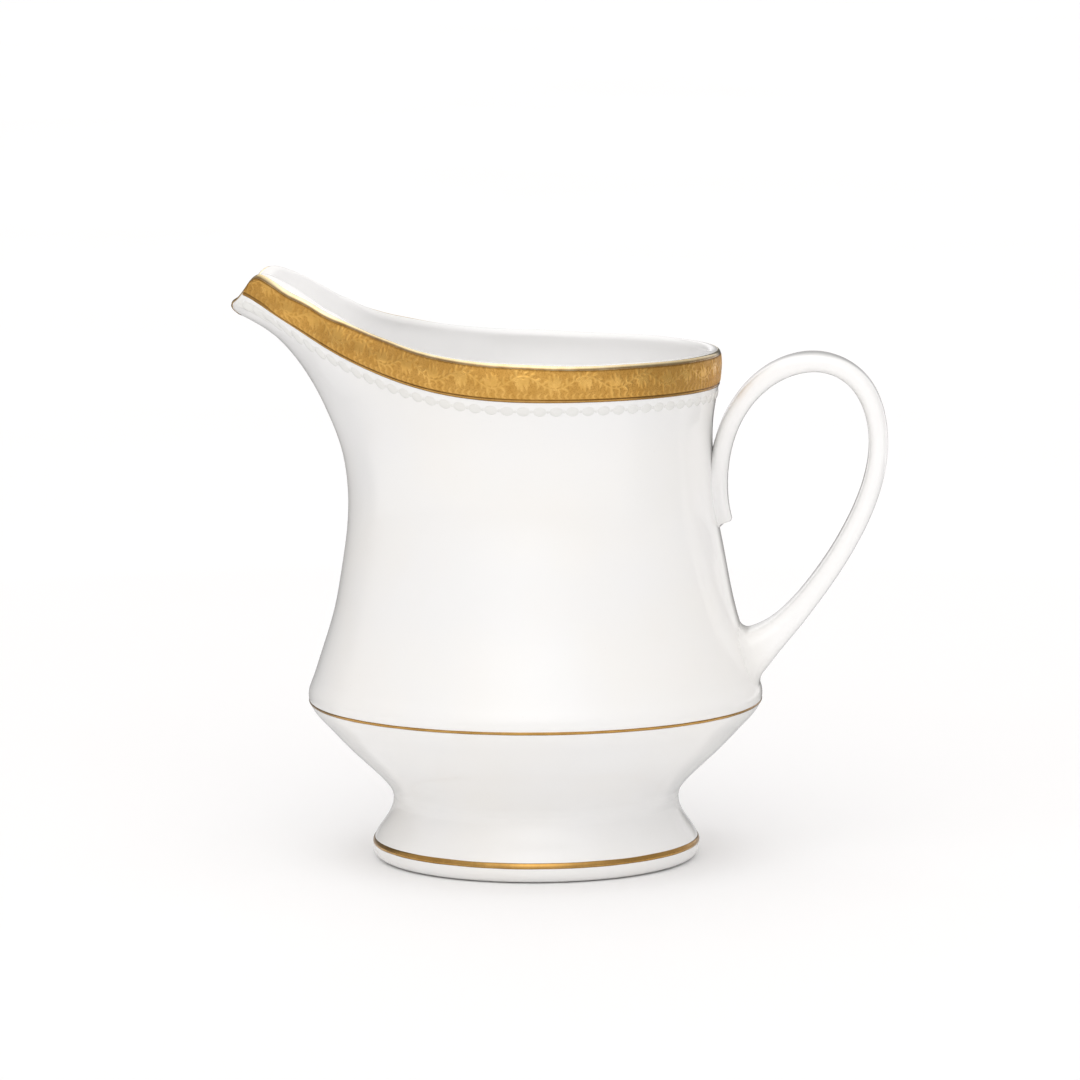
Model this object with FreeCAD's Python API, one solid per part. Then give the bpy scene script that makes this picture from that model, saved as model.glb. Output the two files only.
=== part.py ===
"""Footed cream jug in glazed porcelain with gilded bands.

Frame: origin at the centre of the foot ring, on the plane the jug rests on.
+Z up, spout toward -X, handle toward +X, symmetric about the XZ plane.
All lengths in millimetres.
"""
import FreeCAD, Part
import math
import os

os.makedirs("parts", exist_ok=True)
V = FreeCAD.Vector

# ---------------------------------------------------------------- dimensions
WAIST_Z = 11.5            # underside of the bowl, where the foot is luted on
FOOT_TOP = 11.2           # top of the foot casting
WALL_LOW = 3.0            # bowl wall near the floor
WALL_TOP = 2.1            # bowl wall at the lip
FLOOR_Z = 14.6            # inside floor of the bowl

# height, radius of the bowl away from the spout
BOWL_R = [
    (11.28, 26.02), (12.56, 26.36), (13.83, 27.2), (15.11, 28.32),
    (16.56, 29.79), (18.56, 31.93), (20.75, 34.22), (22.93, 36.29),
    (24.93, 38.15), (26.21, 39.36), (27.48, 40.41), (28.39, 40.95),
    (29.12, 41.23), (29.85, 41.37), (30.76, 41.35), (31.85, 41.05),
    (32.94, 40.62), (34.94, 39.91), (37.13, 39.21), (40.22, 38.19),
    (43.5, 37.16), (47.14, 36.22), (50.78, 35.46), (54.42, 34.8),
    (58.06, 34.12), (61.7, 33.4), (65.34, 32.87), (68.98, 32.62),
    (72.62, 32.5), (76.26, 32.38), (78.99, 32.4), (81.72, 32.68),
    (85.36, 33.3), (88.09, 33.78), (90.82, 33.92), (93.55, 33.46),
    (95.37, 32.66), (97.19, 31.42), (99.01, 30.18), (100.83, 29.7),
    (103.56, 29.65), (107.2, 29.65), (110.84, 29.65)]

# height, how far the spout keel stands out past the bowl radius
SPOUT_REACH = [
    (47.14, 0.01), (52.6, 0.13), (58.06, 0.3), (63.52, 0.83), (68.98, 1.44),
    (74.44, 2.49), (78.99, 4.04), (83.54, 5.47), (87.18, 6.68), (90.82, 8.73),
    (93.55, 11.39), (95.37, 14.04), (97.19, 17.79), (99.01, 22.34), (100.83, 25.79),
    (102.65, 25.98), (105.38, 25.08), (110.84, 23.45)]

# height, half angle in degrees over which the spout blends into the bowl
SPOUT_ANGLE = [
    (47.14, 21.5), (68.98, 21.5), (79.9, 21.9), (85.36, 23.5),
    (89.91, 28.4), (94.46, 31.2), (98.1, 26.8), (101.74, 23.2),
    (105.38, 23.9), (110.84, 25.3)]

# side elevation of the lip: x, height
RIM = [
    (-56.5, 99.91), (-55.4, 100.36), (-55.18, 100.71), (-54.6, 101.89), (-53.87, 102.8),
    (-52.96, 103.52), (-52.05, 104.6), (-51.14, 105.9), (-50.23, 107.04), (-49.32, 107.59),
    (-48.23, 107.36), (-46.96, 106.68), (-45.5, 105.76), (-43.68, 104.63), (-41.5, 103.69),
    (-38.95, 102.54), (-36.4, 101.17), (-33.85, 100.12), (-30.76, 99.03), (-27.3, 97.84),
    (-24.02, 96.91), (-20.38, 95.88), (-16.74, 95.1), (-11.47, 94.34), (-5.82, 93.86),
    (0.0, 93.62), (7.28, 93.27), (14.56, 93.2), (21.84, 93.23), (27.3, 93.19),
    (31.3, 93.2), (33.85, 93.18), (38.0, 93.19)]

# side elevation of the lower edge of the gilded band: x, height
BAND_LOW = [
    (-56.5, 104.3), (-53.5, 103.8), (-51.8, 103.3), (-50.6, 102.85), (-49.4, 102.25),
    (-48.2, 101.6), (-47, 100.88), (-46, 100.27), (-44, 99.05), (-42, 97.85),
    (-40, 96.68), (-38, 95.57), (-36, 94.53), (-34, 93.57), (-31, 92.27),
    (-28, 91.13), (-25, 90.14), (-22, 89.29), (-19, 88.6), (-16, 88.02),
    (-13, 87.56), (-10, 87.22), (-6, 86.9), (-2, 86.7), (2, 86.6),
    (8, 86.53), (14, 86.5), (20, 86.5), (26, 86.5), (32, 86.48),
    (38, 86.48)]
EDGE_LINE = 0.55          # smooth gold line closing the etched band
BEAD_GAP = 0.75           # white gap between gold and raised border
BEAD_DEPTH = 1.7          # height of the raised border
BAND_T = 0.14             # how proud the gilded band stands
LINE_T = 0.10             # how proud the gold lines stand
BEAD_T = 0.16             # how proud the raised border stands
SKIN_GAP = 0.015          # clearance between a strip and the glazed skin

SHOULDER_LINE = (28.75, 29.35)    # gold line on the shoulder, z from/to
FOOT_LINE = (2.75, 3.85)          # gold line on the foot, z from/to

# foot casting: outside and inside profiles as radius, height
FOOT_OUT = [(27.7, 0.0), (28.75, 0.3), (29.5, 0.95), (29.82, 1.8),
            (29.84, 2.6), (29.72, 3.28), (29.35, 4.2), (28.72, 5.28),
            (27.85, 6.5), (27.0, 7.8), (26.42, 9.0), (26.12, 10.1),
            (26.0, 11.2)]
FOOT_IN = [(23.2, 11.2), (23.4, 9.6), (24.1, 7.8), (25.1, 5.9),
           (26.0, 4.2), (26.2, 2.6), (25.9, 1.2), (25.6, 0.0)]
FOOT_LUTE = (23.3, 25.95)         # slip joint, inner and outer radius

# handle strap: x, z, thickness across the strap, half width
HANDLE = [
    (34.37, 61.95, 3.1, 2.5), (33.76, 64.4, 3.28, 3.4),
    (33.44, 67.49, 3.39, 4.3), (33.5, 70.61, 3.42, 4.9),
    (33.88, 73.6, 3.42, 5.15), (34.59, 76.67, 3.42, 5.2),
    (35.79, 79.9, 3.41, 5.2), (37.35, 82.7, 3.4, 5.2),
    (39.25, 85.2, 3.44, 5.2), (41.6, 87.4, 3.53, 5.2),
    (44.37, 89.16, 3.58, 5.2), (47.52, 90.34, 3.58, 5.2),
    (50.9, 90.74, 3.51, 5.2), (54.22, 90.15, 3.45, 5.2),
    (57.19, 88.59, 3.46, 5.2), (59.53, 86.22, 3.53, 5.2),
    (61.13, 83.21, 3.54, 5.2), (62.03, 80.01, 3.49, 5.2),
    (62.37, 76.8, 3.47, 5.2), (62.26, 73.7, 3.47, 5.2),
    (61.79, 70.7, 3.5, 5.2), (61.01, 67.71, 3.54, 5.2),
    (60, 64.87, 3.59, 5.2), (58.79, 62.08, 3.63, 5.2),
    (57.4, 59.33, 3.65, 5.2), (55.93, 56.71, 3.66, 5.2),
    (54.32, 54.12, 3.7, 5.2), (52.62, 51.62, 3.76, 5.2),
    (50.83, 49.16, 3.86, 5.2), (48.97, 46.78, 4.04, 5.25),
    (46.99, 44.46, 4.4, 5.35), (44.82, 42.23, 4.97, 5.6),
    (42.42, 40.16, 6.19, 6.1), (39.95, 38.3, 8, 6.9),
    (37.45, 36.5, 9.4, 7.7)]
LUTE_T = 0.3              # thickness of the slip joints under the handle


# ------------------------------------------------------------------ helpers
class Spline:
    """Natural cubic through (x, y) pairs."""

    def __init__(self, pts):
        self.x = [p[0] for p in pts]
        self.y = [p[1] for p in pts]
        n = len(pts)
        a, b, c, d = [0.0] * n, [1.0] * n, [0.0] * n, [0.0] * n
        for i in range(1, n - 1):
            h0 = self.x[i] - self.x[i - 1]
            h1 = self.x[i + 1] - self.x[i]
            a[i], b[i], c[i] = h0, 2 * (h0 + h1), h1
            d[i] = 6 * ((self.y[i + 1] - self.y[i]) / h1
                        - (self.y[i] - self.y[i - 1]) / h0)
        for i in range(1, n):
            w = a[i] / b[i - 1]
            b[i] -= w * c[i - 1]
            d[i] -= w * d[i - 1]
        m = [0.0] * n
        m[-1] = d[-1] / b[-1]
        for i in range(n - 2, -1, -1):
            m[i] = (d[i] - c[i] * m[i + 1]) / b[i]
        self.m = m

    def __call__(self, t):
        x, y, m = self.x, self.y, self.m
        t = min(max(t, x[0]), x[-1])
        lo, hi = 0, len(x) - 1
        while hi - lo > 1:
            k = (lo + hi) // 2
            if x[k] > t:
                hi = k
            else:
                lo = k
        h = x[hi] - x[lo]
        u, v = (x[hi] - t) / h, (t - x[lo]) / h
        return (u * y[lo] + v * y[hi]
                + ((u ** 3 - u) * m[lo] + (v ** 3 - v) * m[hi]) * h * h / 6)


bowl_r = Spline(BOWL_R)
reach = Spline(SPOUT_REACH)
angle = Spline(SPOUT_ANGLE)
rim_z = Spline(RIM)


def radius(theta, z):
    """Outer radius of the bowl and spout at an angle and height."""
    r = bowl_r(z)
    if z > SPOUT_REACH[0][0]:
        away = math.degrees(math.pi - abs(theta))
        r += max(reach(z), 0.0) * math.exp(-(away / angle(z)) ** 2)
    return r


def wall(z):
    k = min(max((z - 20.0) / 65.0, 0.0), 1.0)
    return WALL_LOW + (WALL_TOP - WALL_LOW) * k


def slopes(theta, z):
    """Surface slopes dr/dz and dr/dtheta / r."""
    dz, dt = 0.05, 0.002
    rz = (radius(theta, z + dz) - radius(theta, z - dz)) / (2 * dz)
    t0 = abs(theta)
    t1, t2 = min(t0 + dt, math.pi), max(t0 - dt, 0.0)
    rt = (radius(t1, z) - radius(t2, z)) / (t1 - t2) / radius(theta, z)
    return rz, rt


def crossing(theta, f, lo=70.0, hi=109.0):
    """Height at which the skin first meets the side elevation curve f(x)."""
    c = math.cos(theta)
    z, step = lo, 0.25
    while z < hi:
        if z - f(radius(theta, z) * c) >= 0:
            break
        z += step
    a, b = z - step, z
    for _ in range(30):
        m = (a + b) / 2
        if m - f(radius(theta, m) * c) >= 0:
            b = m
        else:
            a = m
    return (a + b) / 2


def frame_at(theta, z):
    """Radial plane basis at a skin point: r, tangent, inward normal, wall."""
    rz, rt = slopes(theta, z)
    l = math.sqrt(1 + rz * rz)
    w = wall(z)
    across = w * min(math.sqrt(1 + rt * rt / (1 + rz * rz)), 1.8)
    return radius(theta, z), (rz / l, 1 / l), (-1 / l, rz / l), w, across


_edge_cache = {}


def edge_z(theta):
    """Height where the outside wall ends and the rounded lip begins."""
    k = round(abs(theta), 6)
    if k not in _edge_cache:
        zr = crossing(theta, rim_z)
        z = zr - 1.1
        for _ in range(4):
            r, t, n, w, across = frame_at(theta, z)
            z = zr - (w / 2 * t[1] + across / 2 * max(n[1], 0.0))
        _edge_cache[k] = z
    return _edge_cache[k]


def polar(theta, r, z):
    return V(r * math.cos(theta), r * math.sin(theta), z)


def on_wall(theta, z, out=0.0):
    r, t, n, w, across = frame_at(theta, z)
    return polar(theta, r - n[0] * out, z - n[1] * out)


def on_lip(theta, alpha, out=0.0):
    """Point on the rounded lip, alpha 0 outside to 180 inside."""
    z = edge_z(theta)
    r, t, n, w, across = frame_at(theta, z)
    ca, sa = math.cos(math.radians(alpha)), math.sin(math.radians(alpha))
    hw, ha = w / 2 + out, across / 2 + out
    cr, cz = r + n[0] * across / 2, z + n[1] * across / 2
    return polar(theta, cr + t[0] * hw * sa - n[0] * ha * ca,
                 cz + t[1] * hw * sa - n[1] * ha * ca)


def inside(theta, z):
    """Inner surface point facing the outer skin point at this height."""
    r, t, n, w, across = frame_at(theta, z)
    return polar(theta, r + n[0] * across, z + n[1] * across)


def theta_list():
    """Angles round the jug, closer together towards the spout."""
    half, a = [], 0.0
    while a < 180.0 - 1e-6:
        half.append(a)
        a += 5.0 if a < 110 else (3.0 if a < 149 else 1.9375)
    degs = half + [180.0] + [-d for d in reversed(half[1:])]
    return [math.radians(d) for d in degs]


THETAS = theta_list()
TPAR = [math.degrees(t) if t >= 0 else 360 + math.degrees(t) for t in THETAS]


def skin(rings, upar=None):
    """Closed solid through a stack of closed point rings, flat at each end."""
    nv = len(rings)
    nu = len(rings[0])
    vpar = [0.0]
    for i in range(1, nv):
        d = sum((rings[i][j] - rings[i - 1][j]).Length for j in range(nu)) / nu
        vpar.append(vpar[-1] + max(d, 0.05))
    cols = []
    for j in range(nu):
        c = Part.BSplineCurve()
        c.interpolate(Points=[rings[i][j] for i in range(nv)],
                      Parameters=vpar)
        cols.append(c)
    vk, vm = cols[0].getKnots(), cols[0].getMultiplicities()
    col_poles = [c.getPoles() for c in cols]
    if upar is None:
        upar = [float(i) for i in range(nu + 1)]
    rows = []
    for i in range(len(col_poles[0])):
        c = Part.BSplineCurve()
        c.interpolate(Points=[col_poles[j][i] for j in range(nu)],
                      PeriodicFlag=True, Parameters=upar)
        rows.append(c)
    uk, um = rows[0].getKnots(), rows[0].getMultiplicities()
    row_poles = [c.getPoles() for c in rows]
    poles = [[row_poles[i][j] for i in range(len(rows))]
             for j in range(len(row_poles[0]))]
    s = Part.BSplineSurface()
    s.buildFromPolesMultsKnots(poles, um, vm, uk, vk, True, False, 3, 3)
    side = s.toShape()
    side = side.Faces[0] if side.ShapeType != "Face" else side
    rims = [e for e in side.Edges if not e.isSeam(side)]
    caps = [Part.Face(Part.Wire([Part.Edge(e)])) for e in rims]
    comp = Part.makeCompound([side] + caps)
    comp.sewShape(1e-5)
    solid = Part.makeSolid(comp.Shells[0])
    solid.fix(1e-6, 1e-6, 1e-6)
    if solid.Volume < 0:
        solid.reverse()
    return solid


def heights(lo, hi):
    """Section heights, closer together round the waist and the shoulder."""
    z, out = lo, []
    while z < hi - 0.4:
        out.append(z)
        if z < 17.0:
            z += 0.9
        elif 24.0 < z < 34.0:
            z += 0.75
        else:
            z += 2.2
    out.append(hi)
    return out


def bowl_core(lo, hi, grow):
    """Solid of the bowl outline between two heights, grown outwards."""
    rings = [[polar(t, radius(t, z) + grow, z) for t in THETAS]
             for z in heights(lo, hi)]
    return skin(rings, TPAR + [360.0])


# --------------------------------------------------------------- bowl, spout
RISE = 56.0               # above this the rows follow the lip
rings = [[on_wall(t, z) if z > WAIST_Z else polar(t, radius(t, z), z)
          for t in THETAS] for z in heights(WAIST_Z, RISE)]
steps = [i / 20.0 for i in range(1, 21)]
rings += [[on_wall(t, RISE + (edge_z(t) - RISE) * v) for t in THETAS]
          for v in steps]
rings += [[on_lip(t, a) for t in THETAS]
          for a in (22.5, 45.0, 67.5, 90.0, 112.5, 135.0, 157.5, 180.0)]
rings += [[inside(t, RISE + (edge_z(t) - RISE) * v) for t in THETAS]
          for v in reversed(steps[:-1])]
rings += [[inside(t, z) for t in THETAS]
          for z in reversed(heights(15.6, RISE))]
for r, z in [(24.6, 16.2), (22.9, 15.35), (21.0, 14.85), (18.5, 14.6)]:
    rings.append([polar(t, r, z) for t in THETAS])
cup = skin(rings, TPAR + [360.0])


# ----------------------------------------------------------------- the foot
def revolve_profile(pts_lists):
    edges, first, last = [], None, None
    for pts in pts_lists:
        p = [V(r, 0, z) for r, z in pts]
        if len(p) > 2:
            c = Part.BSplineCurve()
            c.interpolate(Points=p)
            e = c.toShape()
        else:
            e = Part.makeLine(p[0], p[1])
        edges.append(e)
    w = Part.Wire(Part.__sortEdges__(edges))
    return Part.Face(w).revolve(V(0, 0, 0), V(0, 0, 1), 360)


foot = revolve_profile([FOOT_OUT, [FOOT_OUT[-1], FOOT_IN[0]], FOOT_IN,
                        [FOOT_IN[-1], FOOT_OUT[0]]])
foot = foot.Solids[0]
foot_luting = Part.makeCylinder(FOOT_LUTE[1], WAIST_Z - FOOT_TOP,
                                V(0, 0, FOOT_TOP)).cut(
    Part.makeCylinder(FOOT_LUTE[0], 2.0, V(0, 0, FOOT_TOP - 0.5))).Solids[0]


# --------------------------------------------------------------- the handle
def strap(path, n=28, grow=0.0):
    """Strap with rounded edges swept along x, z stations."""
    px = Spline([(i, p[0]) for i, p in enumerate(path)])
    pz = Spline([(i, p[1]) for i, p in enumerate(path)])
    pt = Spline([(i, p[2]) for i, p in enumerate(path)])
    pw = Spline([(i, p[3]) for i, p in enumerate(path)])
    steps = (len(path) - 1) * 2
    rings = []
    for k in range(steps + 1):
        s = (len(path) - 1) * k / steps
        x, z = px(s), pz(s)
        e = 0.02
        s0, s1 = max(s - e, 0.0), min(s + e, len(path) - 1.0)
        dx, dz = px(s1) - px(s0), pz(s1) - pz(s0)
        l = math.hypot(dx, dz)
        nx, nz = dz / l, -dx / l
        ht, hw = pt(s) / 2 + grow, pw(s) + grow
        ring = []
        for j in range(n):
            a = 2 * math.pi * j / n
            ca, sa = math.cos(a), math.sin(a)
            p = 3.2
            q = (abs(ca) ** p + abs(sa) ** p) ** (-1.0 / p)
            u, v = hw * q * ca, ht * q * sa
            ring.append(V(x + nx * v, u, z + nz * v))
        rings.append(ring)
    return skin(rings)


strap_solid = strap(HANDLE)
near = bowl_core(20.0, 88.0, LUTE_T)
core = bowl_core(20.0, 88.0, 0.012)
handle = max(strap_solid.cut(near).Solids, key=lambda s: s.Volume)

# slip joints fill the gap between the strap ends and the bowl
slip = strap(HANDLE, grow=-0.3).common(near).cut(core)
upper_box = Part.makeBox(20, 30, 40, V(28, -15, 55))
lower_box = Part.makeBox(20, 30, 24, V(28, -15, 28))
upper_luting = max(slip.common(upper_box).Solids, key=lambda s: s.Volume)
lower_luting = max(slip.common(lower_box).Solids, key=lambda s: s.Volume)


# ----------------------------------------------------------- the decoration
band_low = Spline(BAND_LOW)


def sheet(rows_in, rows_out, closed):
    """Thin solid between two stacks of point rows that run round the jug."""
    par = TPAR + [360.0]

    def curve(pts):
        c = Part.BSplineCurve()
        if closed:
            c.interpolate(Points=pts, PeriodicFlag=True, Parameters=par)
        else:
            c.interpolate(Points=pts)
        return c.toShape()

    ein = [curve(p) for p in rows_in]
    eout = [curve(p) for p in rows_out]
    faces = []
    for k in range(len(ein) - 1):
        faces.append(Part.makeRuledSurface(ein[k], ein[k + 1]))
        faces.append(Part.makeRuledSurface(eout[k], eout[k + 1]))
    faces.append(Part.makeRuledSurface(ein[0], eout[0]))
    faces.append(Part.makeRuledSurface(ein[-1], eout[-1]))
    if not closed:
        for j in (0, -1):
            loop = [p[j] for p in rows_in] + [p[j] for p in reversed(rows_out)]
            faces.append(Part.Face(Part.makePolygon(loop + [loop[0]])))
    comp = Part.makeCompound(faces)
    comp.sewShape(1e-5)
    solid = Part.makeSolid(comp.Shells[0])
    solid.fix(1e-6, 1e-6, 1e-6)
    if solid.Volume < 0:
        solid.reverse()
    return solid


def strip(z_low, z_high, thick, n, limit=math.pi):
    """Raised strip on the wall between two heights given per angle."""
    ts = THETAS
    closed = limit >= math.pi - 1e-6
    if not closed:
        inner_ts = sorted(t for t in THETAS if abs(t) < limit - 0.012)
        ts = [-limit] + inner_ts + [limit]
    rin, rout = [], []
    for k in range(n + 1):
        f = k / float(n)
        zs = [z_low(t) + (z_high(t) - z_low(t)) * f for t in ts]
        rin.append([on_wall(t, z, SKIN_GAP) for t, z in zip(ts, zs)])
        rout.append([on_wall(t, z, SKIN_GAP + thick) for t, z in zip(ts, zs)])
    return sheet(rin, rout, closed)


def z_of(f):
    cache = {}

    def g(theta):
        k = round(abs(theta), 6)
        if k not in cache:
            cache[k] = crossing(theta, f)
        return cache[k]
    return g


def end_angle(z_low, z_high, least):
    """Largest angle at which the strip is still at least this tall."""
    a = math.radians(150.0)
    while a < math.pi and z_high(a) - z_low(a) > least:
        a += 0.002
    return a


band_top = lambda t: edge_z(t) - 0.05
low = z_of(band_low)
band_bottom = lambda t: low(t) + EDGE_LINE
bead_top = z_of(lambda x: band_low(x) - BEAD_GAP)
bead_bottom = z_of(lambda x: band_low(x) - BEAD_GAP - BEAD_DEPTH)

band_end = end_angle(band_bottom, band_top, 0.35)
gold_band = strip(band_bottom, band_top, BAND_T, 7, band_end)
line_end = end_angle(low, band_top, EDGE_LINE + 0.15)
band_edge_line = strip(low, lambda t: low(t) + EDGE_LINE - 0.03,
                       LINE_T, 1, line_end)
bead_end = end_angle(bead_top, band_top, 0.5)
bead_border = strip(bead_bottom, bead_top, BEAD_T, 2, bead_end)

alphas = (4.0, 22.5, 45.0, 67.5)
lip_gold_line = sheet([[on_lip(t, a, SKIN_GAP) for t in THETAS] for a in alphas],
                      [[on_lip(t, a, SKIN_GAP + LINE_T) for t in THETAS]
                       for a in alphas], True)
shoulder_gold_line = strip(lambda t: SHOULDER_LINE[0],
                           lambda t: SHOULDER_LINE[1], LINE_T, 2)

# gold line on the foot, following its outside profile
z0, z1 = FOOT_LINE
foot_curve = Spline(sorted([(z, r) for r, z in FOOT_OUT]))
zs = [z0 + (z1 - z0) * k / 4.0 for k in range(5)]
pin = [V(foot_curve(z) + SKIN_GAP, 0, z) for z in zs]
pout = [V(foot_curve(z) + SKIN_GAP + LINE_T, 0, z) for z in zs]
loop = pin + list(reversed(pout))
foot_gold_line = Part.Face(Part.makePolygon(loop + [loop[0]])).revolve(
    V(0, 0, 0), V(0, 0, 1), 360)
foot_gold_line = foot_gold_line.Solids[0]

# ------------------------------------------------------------------- export
parts = {
    "jug_body": cup,
    "pedestal_foot": foot,
    "foot_luting": foot_luting,
    "handle": handle,
    "handle_upper_luting": upper_luting,
    "handle_lower_luting": lower_luting,
    "etched_gold_band": gold_band,
    "lip_gold_line": lip_gold_line,
    "band_edge_gold_line": band_edge_line,
    "raised_bead_border": bead_border,
    "shoulder_gold_line": shoulder_gold_line,
    "foot_gold_line": foot_gold_line,
}
for name, shape in parts.items():
    shape.exportStep("parts/%s.step" % name)
    bb = shape.BoundBox
    print("%-22s valid=%s closed=%s vol=%9.2f  x %.2f..%.2f y %.2f..%.2f z %.2f..%.2f"
          % (name, shape.isValid(), shape.isClosed(), shape.Volume,
             bb.XMin, bb.XMax, bb.YMin, bb.YMax, bb.ZMin, bb.ZMax))
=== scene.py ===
"""Looks of the footed cream jug: glazed porcelain, etched gilding, soft studio.

Pieces are built in millimetres in the row frame (foot ring on z = 0, spout
toward -X, handle toward +X) and stored in metres.
"""
import math
import bpy
import numpy as np
from mathutils import Matrix, Vector


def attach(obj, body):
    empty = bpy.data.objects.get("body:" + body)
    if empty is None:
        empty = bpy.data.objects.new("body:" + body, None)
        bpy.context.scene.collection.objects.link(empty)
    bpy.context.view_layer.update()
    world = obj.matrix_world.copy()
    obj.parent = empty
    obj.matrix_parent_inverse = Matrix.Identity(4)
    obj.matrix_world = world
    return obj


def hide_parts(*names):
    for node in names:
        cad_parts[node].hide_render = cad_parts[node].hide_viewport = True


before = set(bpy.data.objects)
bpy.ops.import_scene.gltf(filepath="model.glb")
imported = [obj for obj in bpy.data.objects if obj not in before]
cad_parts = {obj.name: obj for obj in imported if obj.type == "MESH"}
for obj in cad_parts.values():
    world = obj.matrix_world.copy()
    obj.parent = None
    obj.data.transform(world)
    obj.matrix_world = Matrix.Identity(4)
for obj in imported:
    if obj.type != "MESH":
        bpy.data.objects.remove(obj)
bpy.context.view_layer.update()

MM = 0.001
PI = math.pi

# ------------------------------------------------------------ shared tables
WAIST_Z = 11.5
WALL_LOW = 3.0
WALL_TOP = 2.1
RISE = 56.0
EDGE_LINE = 0.55
BEAD_GAP = 0.75
BEAD_DEPTH = 1.7
BAND_T = 0.14
LINE_T = 0.10
BEAD_T = 0.16
SKIN_GAP = 0.015
SHOULDER_LINE = (28.75, 29.35)
FOOT_LINE = (2.75, 3.85)

BOWL_R = [
    (11.28, 26.02), (12.56, 26.36), (13.83, 27.2), (15.11, 28.32),
    (16.56, 29.79), (18.56, 31.93), (20.75, 34.22), (22.93, 36.29),
    (24.93, 38.15), (26.21, 39.36), (27.48, 40.41), (28.39, 40.95),
    (29.12, 41.23), (29.85, 41.37), (30.76, 41.35), (31.85, 41.05),
    (32.94, 40.62), (34.94, 39.91), (37.13, 39.21), (40.22, 38.19),
    (43.5, 37.16), (47.14, 36.22), (50.78, 35.46), (54.42, 34.8),
    (58.06, 34.12), (61.7, 33.4), (65.34, 32.87), (68.98, 32.62),
    (72.62, 32.5), (76.26, 32.38), (78.99, 32.4), (81.72, 32.68),
    (85.36, 33.3), (88.09, 33.78), (90.82, 33.92), (93.55, 33.46),
    (95.37, 32.66), (97.19, 31.42), (99.01, 30.18), (100.83, 29.7),
    (103.56, 29.65), (107.2, 29.65), (110.84, 29.65)]

SPOUT_REACH = [
    (47.14, 0.01), (52.6, 0.13), (58.06, 0.3), (63.52, 0.83), (68.98, 1.44),
    (74.44, 2.49), (78.99, 4.04), (83.54, 5.47), (87.18, 6.68), (90.82, 8.73),
    (93.55, 11.39), (95.37, 14.04), (97.19, 17.79), (99.01, 22.34), (100.83, 25.79),
    (102.65, 25.98), (105.38, 25.08), (110.84, 23.45)]

SPOUT_ANGLE = [
    (47.14, 21.5), (68.98, 21.5), (79.9, 21.9), (85.36, 23.5),
    (89.91, 28.4), (94.46, 31.2), (98.1, 26.8), (101.74, 23.2),
    (105.38, 23.9), (110.84, 25.3)]

RIM = [
    (-56.5, 99.91), (-55.4, 100.36), (-55.18, 100.71), (-54.6, 101.89), (-53.87, 102.8),
    (-52.96, 103.52), (-52.05, 104.6), (-51.14, 105.9), (-50.23, 107.04), (-49.32, 107.59),
    (-48.23, 107.36), (-46.96, 106.68), (-45.5, 105.76), (-43.68, 104.63), (-41.5, 103.69),
    (-38.95, 102.54), (-36.4, 101.17), (-33.85, 100.12), (-30.76, 99.03), (-27.3, 97.84),
    (-24.02, 96.91), (-20.38, 95.88), (-16.74, 95.1), (-11.47, 94.34), (-5.82, 93.86),
    (0.0, 93.62), (7.28, 93.27), (14.56, 93.2), (21.84, 93.23), (27.3, 93.19),
    (31.3, 93.2), (33.85, 93.18), (38.0, 93.19)]

BAND_LOW = [
    (-56.5, 104.3), (-53.5, 103.8), (-51.8, 103.3), (-50.6, 102.85), (-49.4, 102.25),
    (-48.2, 101.6), (-47, 100.88), (-46, 100.27), (-44, 99.05), (-42, 97.85),
    (-40, 96.68), (-38, 95.57), (-36, 94.53), (-34, 93.57), (-31, 92.27),
    (-28, 91.13), (-25, 90.14), (-22, 89.29), (-19, 88.6), (-16, 88.02),
    (-13, 87.56), (-10, 87.22), (-6, 86.9), (-2, 86.7), (2, 86.6),
    (8, 86.53), (14, 86.5), (20, 86.5), (26, 86.5), (32, 86.48),
    (38, 86.48)]

FOOT_OUT = [(27.7, 0.0), (28.75, 0.3), (29.5, 0.95), (29.82, 1.8),
            (29.84, 2.6), (29.72, 3.28), (29.35, 4.2), (28.72, 5.28),
            (27.85, 6.5), (27.0, 7.8), (26.42, 9.0), (26.12, 10.1),
            (26.0, 11.2)]

FOOT_IN = [(23.2, 11.2), (23.4, 9.6), (24.1, 7.8), (25.1, 5.9),
           (26.0, 4.2), (26.2, 2.6), (25.9, 1.2), (25.6, 0.0)]

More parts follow.
